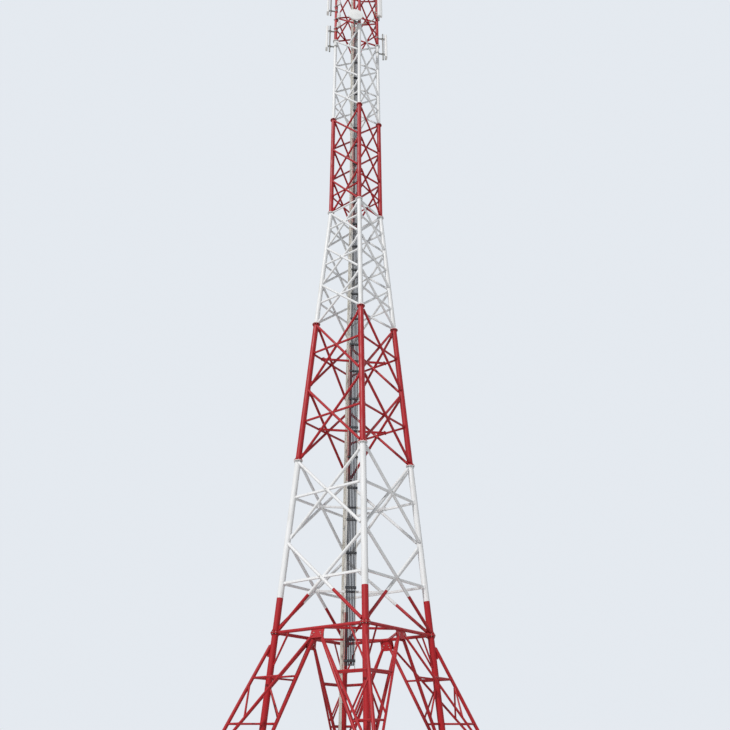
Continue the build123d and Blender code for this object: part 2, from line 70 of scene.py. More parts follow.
# Legs, joints and bracing
BASE_LEG = 0.2191
LEGS = (0.2191, 0.2191, 0.1937, 0.1937, 0.1683, 0.1683)
OVERHANG, FLANGE, STIFFENER, JOINT_BOLTS = 0.055, 0.020, 0.110, 8
PANELS = (2, 2, 3, 3, 3, 3)
DIAGONALS = (0.108, 0.1016, 0.095, 0.0889, 0.0889, 0.0825)
LEVEL_BARS = (0.080, 0.070, 0.070, 0.060, 0.060, 0.060)
WITH_LEVEL = (2, 2, 3, 1, 1, 1)
SET_OFF, BITE, WELD_IN = 0.026, 0.004, 0.012
EAR_HALF, EAR_REACH, EAR_THICK, EAR_SHARE = 0.085, 0.170, 0.010, 0.32
BAR_EDGE, END_PLATE = 0.008, 0.012

# Bolts: the usual thread, and other sizes as shares of the thread
THREAD = 0.020
WASHER, WASHER_THICK, HEXAGON, HEAD_HEIGHT, NUT_HEIGHT = 1.05, 0.16, 0.9, 0.65, 0.80

# Base
FOOT_REACH, PLATE = 3.220, 0.025
MAIN_SIDE, OUTER_SIDE, BOLT_EDGE, RIB = 0.520, 0.460, 0.065, 0.150
RAKER, RAKER_DROP, RING_TUBE = 0.1143, 0.150, 0.108
INNER_STRUT, OUTER_STRUT, STRUT_LIFT = 0.108, 0.0761, 0.150
TIE, TIE_LEVELS, TIE_STEP, KNEE = 0.060, (1.25, 2.55), 0.160, 0.600
GUSSET, GUSSET_REACH, GUSSET_BOLTS = 0.012, 0.380, (0.20, 0.29)
DIAMOND, DIAMOND_SPREAD = 0.070, 0.090

# Ladders and feeders
LADDER_LINE, LADDER_FOOT, LADDER_HEAD, LADDER_WIDTH = 1.400, 2.900, 35.200, 0.400
RAIL_DEPTH, RAIL_THICK, LADDER_PITCH, LADDER_BAR = 0.050, 0.020, 1.200, 0.030
RAIL_WEB, RAIL_LIP = 0.005, 0.004
CARRIER, CARRIER_PLATE, CARRIER_SECTIONS = 0.080, 0.075, 2
FEEDERS, FEEDER, FEEDER_PITCH, FEEDER_INSET = 6, 0.042, 0.056, 0.150
FEEDER_LINE = LADDER_LINE + LADDER_BAR / 2 + FEEDER / 2
CLAMP_HEIGHT, CLAMP_DEPTH, SADDLE, SADDLE_HEIGHT = 0.090, 0.030, 0.025, 0.070
CLIMB_FOOT, CLIMB_HEAD, CLIMB_NEAR, CLIMB_FAR, CLIMB_ASIDE = 0.600, 39.600, 0.400, 0.800, -0.185
STILE_WIDTH, STILE_THICK, RUNG, RUNG_PITCH = 0.060, 0.012, 0.022, 0.300

# Head. Each antenna has its leg, the way it faces, and the levels of its foot and its two arms
# above the foot of the uppermost section.
ANTENNAS = (
    (LEFT, (-1, -1, 0), -0.720, (-0.450, 0.800)),
    (LEFT, (-1, -1, 0), 2.300, (2.550, 3.800)),
    (REAR_RIGHT, (1, 1, 0), -0.850, (-0.550, 0.700)),
    (REAR_RIGHT, (1, -0.65, 0), 1.970, (2.400, 3.400)),
)
PIPE, PIPE_LINE, PIPE_OVERRUN, ARM, ARM_EDGE, BRACKET = 0.0761, 0.310, 0.150, 0.060, 0.006, 0.080
PANEL_LENGTH, PANEL_WIDTH, PANEL_DEPTH, PANEL_GAP, PANEL_EDGE = 1.800, 0.260, 0.130, 0.060, 0.040
PANEL_BACK = PIPE_LINE + PIPE / 2 + PANEL_GAP
DISH_LEVEL, DISH, HUB, DISH_BACK, DISH_DEPTH = HEAD_FOOT + 0.300, 0.800, 0.180, 0.170, 0.170
DISH_RIM, DISH_COVER, DISH_ASIDE, DISH_CARRIER = 0.060, 0.030, 0.260, 0.120
DISH_PIPE, DISH_ARMS, DISH_ROD, DISH_ROD_LEVEL = (-0.450, 0.750), (0.250, 0.850), 0.022, 0.340
RADIO_RISES, RADIO_ASIDE = (1.040, 1.800, 2.920), 0.300
RADIO_WIDTH, RADIO_HEIGHT, RADIO_DEPTH = 0.200, 0.400, 0.100
RADIO_PLATE, RADIO_PLATE_HEIGHT = 0.016, 0.060
FINS, FIN_PITCH, HANDLE_HALF, HANDLE_RISE = 11, 0.0165, 0.050, 0.024

# Three cables from the cable ladder to the rear right leg. Each stop of the middle one's route is
# its place sideways, rearward and in height, and how far the others keep their spacing there.
JUMPERS, JUMPER_PITCH, JUMPER_FAN, JUMPER_FOOT = 3, 0.052, 0.022, 34.460
JUMPER_ROUTE = (
    (-0.084, -0.299, 34.560, 1.0),
    (-0.060, -0.365, 34.700, 1.0),
    (0.060, -0.390, 34.880, 1.0),
    (0.260, -0.360, 35.110, 0.9),
    (0.500, -0.270, 35.400, 0.6),
    (0.760, -0.150, 35.750, 0.3),
    (0.960, -0.060, 36.100, 0.0),
)
JUMPER_END, JUMPER_CLAMPS = (36.450, 36.800), (36.500, 36.720)
JUMPER_LINE = LEGS[-1] / 2 + 0.024 + FEEDER / 2

# Light and camera: colours with their strengths, and turns in degrees
SKY, BACKDROP = ((0.90, 0.95, 1.0), 0.28), ((0.78, 0.82, 0.87), 1.0)
SUN_FROM, SUN_ENERGY, SUN_SPREAD, SUN_COLOUR = (0.08, -0.762, 0.643), 2.4, 6, (1.0, 0.98, 0.95)
CAMERA_SPOT, CAMERA_LENS, CAMERA_SENSOR = Vector((14.947, -19.466, 0.6)), 34.27, 36.0
CAMERA_YAW, CAMERA_PITCH, CAMERA_ROLL = 0.920, 28.833, 0.217


def half_side(z):
    return TOP_HALF + max(BEND - z, 0) * TAPER


def on_leg(corner, z):
    return Vector((corner[0] * half_side(z), corner[1] * half_side(z), z))


def between_legs(level, reach):
    """Ends of a level bar of the front face that stops short of its legs' axes."""
    return on_leg(LEFT, level) + EAST * reach, on_leg(RIGHT, level) - EAST * reach


def along(start, end, z):
    return start + (end - start) * ((z - start.z) / (end.z - start.z))


def behind_axis(z, from_leg, aside=0.0):
    return REARWARD * (sqrt(2) * half_side(z) - from_leg) + SIDEWAYS * aside + UP * z


def across(z, from_leg, half):
    """Ends of a bar that crosses the ladder's line."""
    return behind_axis(z, from_leg, -half), behind_axis(z, from_leg, half)


def feeder_aside(number):
    return FEEDER_PITCH * (number - (FEEDERS - 1) / 2)


def panels(index):
    """Foot and head of the working lines in each panel of a section."""
    step = LENGTH / PANELS[index]
    feet = [RING + index * LENGTH + step * number for number in range(PANELS[index])]
    return [(foot + SET_OFF, foot + step - SET_OFF) for foot in feet]


def crossing_level(bottom, top):
    return bottom + (top - bottom) * half_side(bottom) / (half_side(bottom) + half_side(top))


def quarter(turns):
    return Matrix.Rotation(turns * pi / 2, 4, "Z")


def paint_at(z):
    return RED if sum(z > stop for stop in PAINT_STOPS) % 2 == 0 else WHITE


# Materials
def fill(tree, socket, value):
    """Set a node's input, or link it to another node's output."""
    if isinstance(value, bpy.types.NodeSocket):
        tree.links.new(value, socket)
    else:
        socket.default_value = (*value, 1) if socket.type == "RGBA" else value


def add_node(tree, kind, **values):
    """Shader node with its inputs filled, the spaces in their names as underscores."""
    node = tree.nodes.new(kind)
    for name, value in values.items():
        fill(tree, node.inputs[name.replace("_", " ")], value)
    return node


def shader(name, base, rough, metal=0.0):
    material = bpy.data.materials.new(name)
    material.use_nodes = True
    tree = material.node_tree
    principled = tree.nodes["Principled BSDF"]
    for socket, value in (("Base Color", base), ("Roughness", rough), ("Metallic", metal)):
        fill(tree, principled.inputs[socket], value)
    return material, tree, principled, add_node(tree, "ShaderNodeTexCoord").outputs["Object"]


def noise(tree, place, scale, detail, stretch=None, rough=0.55):
    if stretch:
        place = add_node(tree, "ShaderNodeMapping", Vector=place, Scale=stretch).outputs["Vector"]
    values = {"Scale": scale, "Detail": detail, "Roughness": rough}
    return add_node(tree, "ShaderNodeTexNoise", Vector=place, **values).outputs["Fac"]


def spread(tree, value, low, high, to_low=0.0, to_high=1.0):
    limits = {"From_Min": low, "From_Max": high, "To_Min": to_low, "To_Max": to_high}
    return add_node(tree, "ShaderNodeMapRange", Value=value, **limits).outputs["Result"]


def blend(tree, factor, first, second):
    """Mix of two colours, each a tuple or a socket."""
    node = tree.nodes.new("ShaderNodeMix")
    node.data_type = "RGBA"
    colours = [socket for socket in node.inputs if socket.type == "RGBA"]
    for socket, value in zip((node.inputs["Factor"], *colours), (factor, first, second)):
        fill(tree, socket, value)
    return [socket for socket in node.outputs if socket.type == "RGBA"][0]


def surface(tree, principled, colour, rough, height, distance, strength):
    """Link a colour and a roughness, and raise the surface by a height."""
    bump = add_node(tree, "ShaderNodeBump", Height=height, Distance=distance, Strength=strength)
    tree.links.new(colour, principled.inputs["Base Color"])
    tree.links.new(rough, principled.inputs["Roughness"])
    tree.links.new(bump.outputs["Normal"], principled.inputs["Normal"])


def stain(tree, place, colour, over, texture, low, high, most):
    """Colour with another over it where a noise is high: its scale, detail, stretch and roughness."""
    amount = spread(tree, noise(tree, place, *texture), low, high, 0.0, most)
    return blend(tree, amount, colour, over)


def paint(name, base, chalk, dirt, rust):
    """Brushed gloss paint, chalked in patches, with dirty runs and rust freckles."""
    material, tree, principled, place = shader(name, base, 0.4)
    principled.inputs["Specular IOR Level"].default_value = 0.35
    colour = stain(tree, place, base, chalk, (0.7, 5), 0.42, 0.68, 0.5)
    colour = stain(tree, place, colour, dirt, (1.0, 6, (14, 14, 0.6)), 0.50, 0.78, 0.55)
    colour = stain(tree, place, colour, rust, (9.0, 8, (1, 1, 0.5), 0.7), 0.67, 0.75, 0.8)
    uneven = spread(tree, noise(tree, place, 3.0, 4), 0.3, 0.7, 0.32, 0.58)
    brushed = noise(tree, place, 1.0, 3, (220, 220, 12))
    surface(tree, principled, colour, uneven, brushed, 0.0008, 0.35)
    return material


def galvanised(name, base, dark, rough, metal):
    """Dull hot-dip zinc with its spangle and run marks."""
    material, tree, principled, place = shader(name, base, rough, metal)
    spangle = add_node(tree, "ShaderNodeTexVoronoi", Vector=place, Scale=55.0).outputs["Color"]
    grain = add_node(tree, "ShaderNodeRGBToBW", Color=spangle).outputs["Val"]
    colour = blend(tree, spread(tree, grain, 0.1, 0.9, 0.0, 0.45), base, dark)
    runs = tuple(part * 0.6 for part in base)
    colour = stain(tree, place, colour, runs, (1.0, 5, (9, 9, 0.5)), 0.48, 0.8, 0.5)
    uneven = spread(tree, grain, 0, 1, rough - 0.1, rough + 0.12)
    surface(tree, principled, colour, uneven, noise(tree, place, 60, 3), 0.0006, 0.4)
    return material


def sheath(name, base, dust):
    """Cable jacket with dust on it and fine corrugation."""
    material, tree, principled, place = shader(name, base, 0.5)
    colour = stain(tree, place, base, dust, (1.0, 5, (5, 5, 0.8)), 0.42, 0.75, 0.6)
    uneven = spread(tree, noise(tree, place, 12, 3), 0.3, 0.7, 0.38, 0.62)
    surface(tree, principled, colour, uneven, noise(tree, place, 1.0, 2, (30, 30, 160)), 0.0012, 0.5)
    return material


def moulded(name, base, marks):
    """Glass-fibre cover with rain marks and a fine pebbled skin."""
    material, tree, principled, place = shader(name, base, 0.42)
    colour = stain(tree, place, base, marks, (1.0, 5, (11, 11, 0.9)), 0.45, 0.8, 0.5)
    uneven = spread(tree, noise(tree, place, 6, 3), 0.3, 0.7, 0.34, 0.52)
    surface(tree, principled, colour, uneven, noise(tree, place, 260, 2), 0.0004, 0.35)
    return material


looks = [
    paint(
        "red_coat", (0.42, 0.010, 0.016), (0.44, 0.028, 0.034), (0.18, 0.012, 0.014),
        (0.11, 0.032, 0.014),
    ),
    paint("white_coat", (0.86, 0.87, 0.89), (0.76, 0.77, 0.78), (0.55, 0.54, 0.51), (0.36, 0.20, 0.10)),
    galvanised("zinc", (0.74, 0.71, 0.64), (0.57, 0.55, 0.50), 0.52, 0.15),
    sheath("jacket", (0.016, 0.020, 0.030), (0.060, 0.058, 0.055)),
    moulded("cover_skin", (0.88, 0.89, 0.90), (0.74, 0.74, 0.72)),
    galvanised("bolt_zinc", (0.50, 0.49, 0.45), (0.36, 0.35, 0.33), 0.42, 0.6),
    sheath("bleached_jacket", (0.52, 0.47, 0.41), (0.66, 0.61, 0.54)),
    # Zinc of the antenna pipes, arms, brackets and radio plates: the same zinc darkened, as painted
    # shade.
    galvanised("shade_darkened_zinc", (0.30, 0.30, 0.29), (0.22, 0.22, 0.21), 0.58, 0.3),
]


# Mesh building
def add_object(name, data):
    added = bpy.data.objects.new(name, data)
    bpy.context.scene.collection.objects.link(added)
    return added


class Shape:
    """Joined mesh of many small solids, drawn about the tower's axis."""

    def __init__(self):
        self.points = []
        self.faces = []
        self.kinds = []
        self.smooth = []

    def add(self, points, faces, kind, smooth=False):
        base = len(self.points)
        self.points += points
        self.faces += [[base + i for i in face] for face in faces]
        self.kinds += [kind] * len(faces)
        self.smooth += [smooth] * len(faces)

    def join(self, other, move=None, flip=False):
        """Add a copy of another shape, moved, with its faces turned over where it is mirrored."""
        base = len(self.points)
        self.points += [move @ p for p in other.points] if move else other.points
        order = -1 if flip else 1
        self.faces += [[base + i for i in face[::order]] for face in other.faces]
        self.kinds += other.kinds
        self.smooth += other.smooth
        return self

    def place(self, name, *nodes, bevel=0.0):
        """Make the piece, and hide the named nodes, which it stands in for."""
        mesh = bpy.data.meshes.new(name)
        mesh.from_pydata([p + middle for p in self.points], [], self.faces)
        used = sorted(set(self.kinds))
        for kind in used:
            mesh.materials.append(looks[kind])
        mesh.polygons.foreach_set("material_index", [used.index(kind) for kind in self.kinds])
        mesh.polygons.foreach_set("use_smooth", self.smooth)
        mesh.update()
        piece = add_object(name, mesh)
        if bevel:
            edges = piece.modifiers.new("edges", "BEVEL")
            edges.width = bevel
            edges.segments = 2
            edges.limit_method = "ANGLE"
            edges.angle_limit = radians(50)
        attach(piece, "root")
        if nodes:
            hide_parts(*nodes)
        return piece


def four_sided(one):
    """Shape repeated by quarter turns about the tower's axis."""
    shape = Shape()
    for turns in range(4):
        shape.join(one, quarter(turns))
    return shape


def place_turned(one, turns, name):
    """Make a piece of a shape after some quarter turns."""
    Shape().join(one, quarter(turns)).place("round_" + name, name)


def frame_of(run, flat=None):
    """Two unit vectors square to a run, the first toward flat."""
    run = run.normalized()
    flat = flat or (UP if abs(run.z) < 0.9 else EAST)
    first = (flat - run * flat.dot(run)).normalized()
    return first, run.cross(first)


def spokes(count, offset=0.0, first=EAST, second=NORTH):
    """Unit vectors evenly round a circle, the offset in steps."""
    turn = 2 * pi / count
    return [first * cos((n + offset) * turn) + second * sin((n + offset) * turn) for n in range(count)]


def circle(centre, first, second, radius, sides):
    return [centre + spoke * radius for spoke in spokes(sides, 0.0, first, second)]


def walls(shape, loops, kind, smooth):
    """Skin through loops of points, open at both ends."""
    sides = len(loops[0])
    quads = []
    for row in range(len(loops) - 1):
        a, b = row * sides, (row + 1) * sides
        quads += [[a + i, a + (i + 1) % sides, b + (i + 1) % sides, b + i] for i in range(sides)]
    shape.add([p for loop in loops for p in loop], quads, kind, smooth)


def ends(shape, loops, kind):
    """Flat faces that close a skin."""
    face = list(range(len(loops[0])))
    shape.add(list(loops[0]), [face[::-1]], kind)
    shape.add(list(loops[-1]), [face], kind)


def rings(shape, loops, kind, smooth=True):
    """Skin through loops of points, closed at both ends."""
    walls(shape, loops, kind, smooth)
    ends(shape, loops, kind)


def tube(shape, start, end, radius, kind, sides):
    first, second = frame_of(end - start)
    rings(shape, [circle(point, first, second, radius, sides) for point in (start, end)], kind)


def banded(shape, start, end, radius, sides):
    """Tube whose paint changes at the levels of the bands."""
    low, high = (start, end) if start.z < end.z else (end, start)
    stops = [stop for stop in PAINT_STOPS if low.z + 0.01 < stop < high.z - 0.01]
    points = [low] + [along(low, high, stop) for stop in stops] + [high]
    for lower, upper in zip(points[:-1], points[1:]):
        tube(shape, lower, upper, radius, paint_at((lower.z + upper.z) / 2), sides)


def lathe(shape, centre, axis, profile, kind, sides, smooth=False):
    """Turned solid: profile gives pairs of distance along the axis and radius."""
    first, second = frame_of(axis)
    axis = axis.normalized()
    loops = [circle(centre + axis * at, first, second, radius, sides) for at, radius in profile]
    if smooth:
        rings(shape, loops, kind)
        return
    for pair in zip(loops[:-1], loops[1:]):
        walls(shape, pair, kind, sides > 8)
    ends(shape, loops, kind)


def disc(shape, foot, axis, radius, height, kind, sides):
    lathe(shape, foot, axis, [(0, radius), (height, radius)], kind, sides)


def slab(shape, origin, x, y, outline, thickness, kind):
    """Flat plate with the given outline in the plane of x and y, centred on its thickness."""
    turns = sum(a[0] * b[1] - b[0] * a[1] for a, b in zip(outline, outline[1:] + outline[:1]))
    if turns < 0:
        outline = outline[::-1]
    lift = x.cross(y).normalized() * thickness / 2
    lower = [origin + x * a + y * b - lift for a, b in outline]
    rings(shape, [lower, [p + lift * 2 for p in lower]], kind, smooth=False)


def square(half):
    return [(-half, -half), (half, -half), (half, half), (-half, half)]


def rectangle(width, height, x=0.0, y=0.0):
    a, b = width / 2, height / 2
    return [(x - a, y - b), (x + a, y - b), (x + a, y + b), (x - a, y + b)]


def rounded_bar(depth, width, edge):
    """Outline of a bar with small rounded edges, depth first."""
    a, b, e = depth / 2, width / 2, edge
    left = [(a, b - e), (a - e, b), (e - a, b), (-a, b - e)]
    return left + [(-a, e - b), (e - a, -b), (a - e, -b), (a, e - b)]


def beam(shape, start, end, width, depth, flat, kind, edge):
    """Rectangular bar with small rounded edges, its depth toward flat."""
    first, second = frame_of(end - start, flat)
    outline = rounded_bar(depth, width, edge)
    loops = [[p + first * u + second * v for u, v in outline] for p in (start, end)]
    rings(shape, loops, kind, smooth=False)


def bolt(shape, point, axis, thread, grip):
    """Hexagon bolt through a joint, with washers, nut and thread end."""
    axis = axis.normalized()
    washer = thread * WASHER_THICK
    for way, height in ((axis, HEAD_HEIGHT), (axis * -1, NUT_HEIGHT)):
        face = point + way * grip / 2
        disc(shape, face, way, thread * WASHER, washer, BOLT, 12)
        disc(shape, face + way * washer, way, thread * HEXAGON, thread * height, BOLT, 6)
    tip = point - axis * (grip / 2 + thread * 0.9)
    lathe(shape, tip, axis * -1, [(0, thread * 0.5), (thread * 0.35, thread * 0.45)], BOLT, 8)


def weld(shape, centre, axis, radius, kind, sides, size=0.007):
    """Fillet bead where a tube meets what carries it."""
    bead = [(0, radius + size), (size * 0.6, radius + size * 0.7), (size, radius)]
    lathe(shape, centre, axis, bead, kind, sides, smooth=True)


def bent_rod(shape, points, radius, kind):
    """Round rod through points."""
    first = frame_of(points[1] - points[0])[0]
    loops = []
    for i, point in enumerate(points):
        run = (points[min(i + 1, len(points) - 1)] - points[max(i - 1, 0)]).normalized()
        first = (first - run * first.dot(run)).normalized()
        loops.append(circle(point, first, run.cross(first), radius, 8))
    rings(shape, loops, kind)


def u_bolts(shape, centre, radius, toward, past, thread, lift):
    """Two U-bolts round a tube, a lift above and below, their nuts past its wall at a plate."""
    side = UP.cross(toward)
    reach, legs = radius + thread / 2, radius + past
    for level in (centre - UP * lift, centre + UP * lift):
        points = [level + side * reach + toward * legs]
        for n in range(9):
            angle = pi * n / 8
            points.append(level + side * reach * cos(angle) - toward * reach * sin(angle))
        points.append(level - side * reach + toward * legs)
        bent_rod(shape, points, thread / 2, BOLT)
        for way in (-1, 1):
            nut = level + side * reach * way + toward * (legs - thread * 1.6)
            disc(shape, nut, toward, thread * HEXAGON, thread * NUT_HEIGHT, BOLT, 6)


def collar(shape, centre, radius, out, height, kind=STEEL, thickness=0.008):
    """Two half bands clamped round a tube by a bolt on each side."""
    outer = radius + thickness
    band = [(0, radius), (0, outer), (height, outer), (height, radius)]
    lathe(shape, centre - UP * height / 2, UP, band, kind, 24)
    side = UP.cross(out).normalized()
    for way in (-1, 1):
        lug = centre + side * way * (outer + 0.014)
        slab(shape, lug, side, UP, rectangle(0.036, height), 0.020, kind)
        bolt(shape, lug + side * way * 0.002, out, 0.012, 0.020)


# Legs and their flanged joints
def flange(shape, level, way, diameter):
    """Flange of the front left leg with its weld and stiffeners, above a level or below it."""
    centre, kind = on_leg(LEFT, level), paint_at(level + way * 0.1)
    lean = on_leg(LEFT, level + way * 0.5) - centre
    lean = lean / abs(lean.z)
    rim, chamfer = diameter / 2 + OVERHANG, 0.003
    profile = [(0, rim), (FLANGE - chamfer, rim), (FLANGE, rim - chamfer)]
    lathe(shape, centre, UP * way, profile, kind, 36)
    foot = centre + UP * way * FLANGE
    weld(shape, foot, UP * way, diameter / 2, kind, 28)
    near, far = diameter / 2 - 0.004, rim - 0.008
    outline = [(near, 0), (far, 0), (far, 0.012), (near, STIFFENER)]
    for out in spokes(JOINT_BOLTS, 0.5):
        slab(shape, foot, out, lean, outline, 0.008, kind)


def section_legs(index):
    """Four leg tubes of a section between its flanges, with the bolts of the joint at its foot."""
    low = RING + index * LENGTH
    high, diameter = low + LENGTH, LEGS[index]
    one = Shape()
    banded(one, on_leg(LEFT, low + FLANGE), on_leg(LEFT, high - FLANGE), diameter / 2, 36)
    flange(one, low, 1, diameter)
    flange(one, high, -1, diameter)
    for out in spokes(JOINT_BOLTS):
        bolt(one, on_leg(LEFT, low) + out * (diameter / 2 + OVERHANG * 0.55), UP, THREAD, 2 * FLANGE)
    name = "section_%d_legs" % (index + 1)
    four_sided(one).place("round_" + name, name)


# Crossed faces
def face_normal(low, high):
    wide = on_leg(RIGHT, low) - on_leg(LEFT, low)
    return wide.cross(on_leg(LEFT, high) - on_leg(LEFT, low)).normalized()


def inset(run, tube_run, radius):
    """Distance along a run from a tube's axis to just inside its wall."""
    return radius / sqrt(1 - run.normalized().dot(tube_run.normalized()) ** 2) - WELD_IN


def ear(shape, point, leg_run, run, normal, diagonal):
    """Small plate that stiffens a diagonal's end where it meets its leg."""
    rise = leg_run.normalized() * EAR_HALF
    half = normal.cross(run).normalized() * diagonal * EAR_SHARE
    corners = [point + rise, point - rise]
    tips = [point + run * EAR_REACH - half, point + run * EAR_REACH + half]
    if (corners[0] - tips[0]).length > (corners[0] - tips[1]).length:
        tips.reverse()
    outline = [corners[0], tips[0], tips[1], corners[1]]
    if (outline[1] - outline[0]).cross(outline[2] - outline[1]).dot(normal) < 0:
        outline.reverse()
    lift = normal * EAR_THICK / 2
    loops = [[p - lift for p in outline], [p + lift for p in outline]]
    rings(shape, loops, paint_at(point.z), smooth=False)


def face_panel(shape, bottom, top, diagonal, level_bar, leg_radius):
    """Crossed pair of diagonals of the front face, with the level bar through its crossing."""
    normal = face_normal(bottom, top)
    left_run = on_leg(LEFT, top) - on_leg(LEFT, bottom)
    right_run = on_leg(RIGHT, top) - on_leg(RIGHT, bottom)
    for side, start, end in (
        (1, on_leg(LEFT, top), on_leg(RIGHT, bottom)),
        (-1, on_leg(LEFT, bottom), on_leg(RIGHT, top)),
    ):
        run = (end - start).normalized()
        near = start + run * inset(run, left_run, leg_radius)
        far = end - run * inset(run, right_run, leg_radius)
        shift = normal * side * (diagonal - BITE) / 2
        banded(shape, near + shift, far + shift, diagonal / 2, 20)
        ear(shape, near, left_run, run, normal, diagonal)
        ear(shape, far, right_run, run * -1, normal, diagonal)
    level = crossing_level(bottom, top)
    bolt(shape, Vector((0, -half_side(level), level)), normal, THREAD, diagonal * 2 - 0.012)
    if not level_bar:
        return
    kind = paint_at(level)
    near, far = between_legs(level, inset(EAST, left_run, leg_radius))
    beam(shape, near, far, level_bar, level_bar, normal, kind, BAR_EDGE)
    upward = normal.cross(EAST).normalized()
    for point, way in ((near, 1), (far, -1)):
        plate = point + EAST * way * 0.014
        slab(shape, plate, normal, upward, square(level_bar / 2 + 0.03), 0.010, kind)


def section_faces(index):
    """Four braced faces of a section."""
    face = Shape()
    for number, (bottom, top) in enumerate(panels(index)):
        level_bar = LEVEL_BARS[index] if number < WITH_LEVEL[index] else None
        face_panel(face, bottom, top, DIAGONALS[index], level_bar, LEGS[index] / 2)
    for turns, side in enumerate(SIDES):
        place_turned(face, turns, "section_%d_%s" % (index + 1, side))


for section in range(SECTIONS):
    section_legs(section)
    section_faces(section)

# Base
leg_foot = on_leg(LEFT, 0)
raker_foot = Vector((-FOOT_REACH, -FOOT_REACH, 0))
raker_head = on_leg(LEFT, RING - RAKER_DROP)
leg_run = raker_head - leg_foot
raker_run = raker_head - raker_foot
ring_middle = Vector((0, -half_side(RING), RING))
main_foot = on_leg(LEFT, STRUT_LIFT)
outer_foot = along(raker_foot, raker_head, STRUT_LIFT)
leg_tube, raker_tube = (leg_run, BASE_LEG / 2), (raker_run, RAKER / 2)
strut_feet = (
    (leg_foot, main_foot, INNER_STRUT, leg_tube),
    (raker_foot, outer_foot, OUTER_STRUT, raker_tube),
)


def butted(shape, start, end, size, first, last, sides=16):
    """Round bar between two tubes, each a run and a radius, with a weld bead at each end."""
    run = (end - start).normalized()
    near, far = start, end
    if first:
        near = start + run * inset(run, *first)
        weld(shape, near + run * WELD_IN, run, size / 2, RED, sides)
    if last:
        far = end - run * inset(run, *last)
        weld(shape, far - run * WELD_IN, run * -1, size / 2, RED, sides)
    tube(shape, near, far, size / 2, RED, sides)


def base_legs():
    one = Shape()
    foot = leg_foot + UP * PLATE
    banded(one, foot, on_leg(LEFT, RING - FLANGE), BASE_LEG / 2, 36)
    flange(one, RING, -1, BASE_LEG)
    weld(one, foot, UP, BASE_LEG / 2, RED, 36, 0.010)
    four_sided(one).place("round_base_legs", "base_legs")


def base_rakers():
    """Raking legs, cut level at the foot, each with a fin at its main leg."""
    one = Shape()
    run = raker_run.normalized()
    stop = inset(run, leg_run, BASE_LEG / 2)
    first, second = frame_of(run)
    foot = circle(along(raker_foot, raker_head, PLATE), first, second, RAKER / 2, 28)
    foot = [p + run * ((PLATE - 0.002 - p.z) / run.z) for p in foot]
    rings(one, [foot, circle(raker_head - run * stop, first, second, RAKER / 2, 28)], RED)
    plane_up = leg_run.normalized()
    touch = raker_head - run * (stop + 0.02) + plane_up * 0.02
    outline = [(-0.02, 0.10), (-0.02, -0.34), (0.04, -0.36), (0.10, -0.20)]
    slab(one, touch, SIDEWAYS * -1, plane_up, outline, 0.012, RED)
    four_sided(one).place("round_base_rakers", "base_rakers")


def base_ring():
    """Ring tubes, each with an end plate against the flanges of its two legs."""
    one = Shape()
    start, end = between_legs(RING, BASE_LEG / 2 + OVERHANG)
    tube(one, start, end, RING_TUBE / 2, RED, 32)
    for point, way in ((start, EAST), (end, EAST * -1)):
        disc(one, point, way, RING_TUBE / 2 + 0.018, END_PLATE, RED, 32)
        weld(one, point + way * END_PLATE, way, RING_TUBE / 2, RED, 32)
    four_sided(one).place("round_base_ring", "base_ring")


def ring_gussets():
    """Plates under each ring tube's middle that two pairs of struts meet on."""
    one = Shape()
    near = RING_TUBE / 2 - 0.004
    for _, target, size, _ in strut_feet:
        mirrored = Vector((-target.x, target.y, target.z))
        down = ((target + mirrored) / 2 - ring_middle).normalized()
        run = (mirrored - ring_middle).normalized()
        x, y, half = run.dot(EAST), run.dot(down), size / 2
        edge = (GUSSET_REACH * x + half * y, GUSSET_REACH * y - half * x)
        tip = (GUSSET_REACH * x - half * y, GUSSET_REACH * y + half * x)
        outline = [(-edge[0], near), (edge[0], near), edge, tip, (-tip[0], tip[1]), (-edge[0], edge[1])]
        slab(one, ring_middle, EAST, down, outline, GUSSET, RED)
        for way in (-1, 1):
            for reach in GUSSET_BOLTS:
                place = ring_middle + EAST * way * x * reach + down * y * reach
                bolt(one, place, EAST.cross(down), THREAD, GUSSET)
    four_sided(one).place("bolted_ring_gussets", "ring_gussets", bevel=0.002)


def ring_diamond():
    """Bars across the ring's corners, from one ring tube to the next."""
    one = Shape()
    start = Vector((DIAMOND_SPREAD, -half_side(RING), RING))
    end = Vector((half_side(RING), -DIAMOND_SPREAD, RING))
    run = (end - start).normalized()
    near = start + run * inset(run, EAST, RING_TUBE / 2)
    far = end - run * inset(run, NORTH, RING_TUBE / 2)
    beam(one, near, far, DIAMOND, DIAMOND, UP, RED, BAR_EDGE)
    four_sided(one).place("edged_ring_diamond", "ring_diamond")


def corner_struts():
    """Struts of the front left corner from one ring middle, with the forks at their heads."""
    one = Shape()
    for _, target, size, carrier in strut_feet:
        run = (target - ring_middle).normalized()
        start = ring_middle + run * GUSSET_REACH
        butted(one, start, target, size, None, carrier, 24)
        normal = EAST.cross(run).normalized()
        side = normal.cross(run).normalized()
        cheek = [(-0.12, -size * 0.36), (0.03, -size * 0.5), (0.03, size * 0.5), (-0.12, size * 0.36)]
        for way in (-1, 1):
            place = start + normal * way * (GUSSET + END_PLATE) / 2
            slab(one, place, run, side, cheek, END_PLATE, RED)
    return one


